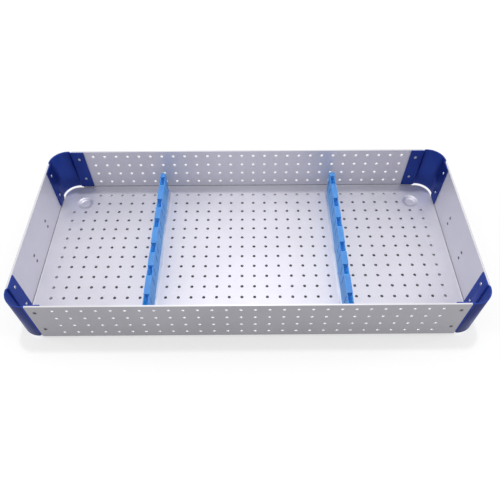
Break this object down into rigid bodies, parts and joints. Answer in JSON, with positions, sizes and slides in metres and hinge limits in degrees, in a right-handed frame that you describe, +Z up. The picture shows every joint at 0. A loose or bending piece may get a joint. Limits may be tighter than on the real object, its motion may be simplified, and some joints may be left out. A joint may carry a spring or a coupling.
{
  "type": "ultrasonic cleaning tray",
  "caption": "Long perforated metal instrument tray with rounded blue corners, notched blue silicone dividers, pressed feet and drop handles, for cleaning in an ultrasonic bath.",
  "frame": {"origin": "on the surface that the tray stands on, under the middle of its length and width", "axes": "+X along the length, to the right in the picture; +Y across, away from the viewer; +Z up"},
  "size_m": [0.5528, 0.2518, 0.0715],
  "materials": {
    "satin_aluminium": "satin, clear anodised",
    "blue_anodised": "deep blue anodised, satin",
    "blue_silicone": "moulded silicone rubber, matt",
    "rail": "satin",
    "rivet": "plain",
    "rivet_steel": "plain",
    "clip_steel": "brushed stainless steel",
    "wire_steel": "polished stainless steel wire"
  },
  "bodies": {
    "tray": {"tray_shell": "satin_aluminium", "corner_back_left": "blue_anodised", "corner_back_right": "blue_anodised", "corner_front_left": "blue_anodised", "corner_front_right": "blue_anodised", "corner_rivets_back_left": "rivet", "corner_rivets_back_right": "rivet", "corner_rivets_front_left": "rivet", "corner_rivets_front_right": "rivet", "divider_rail_left": "rail", "divider_rail_right": "rail", "divider_bar_left": "blue_silicone", "divider_bar_right": "blue_silicone", "handle_clip_left_back": "clip_steel", "handle_clip_left_front": "clip_steel", "handle_clip_right_back": "clip_steel", "handle_clip_right_front": "clip_steel", "handle_rivets_left_back": "rivet_steel", "handle_rivets_left_front": "rivet_steel", "handle_rivets_right_back": "rivet_steel", "handle_rivets_right_front": "rivet_steel"},
    "left_handle": {"handle_left": "wire_steel"},
    "right_handle": {"handle_right": "wire_steel"}
  },
  "joints": [
    {"name": "left_handle_swing", "type": "hinge", "parent": "tray", "child": "left_handle", "pos_m": [-0.2733, 0, 0.0308], "axis": [0, 1, 0], "range_deg": [0, 180]},
    {"name": "right_handle_swing", "type": "hinge", "parent": "tray", "child": "right_handle", "pos_m": [0.2733, 0, 0.0308], "axis": [0, -1, 0], "range_deg": [0, 180]}
  ]
}
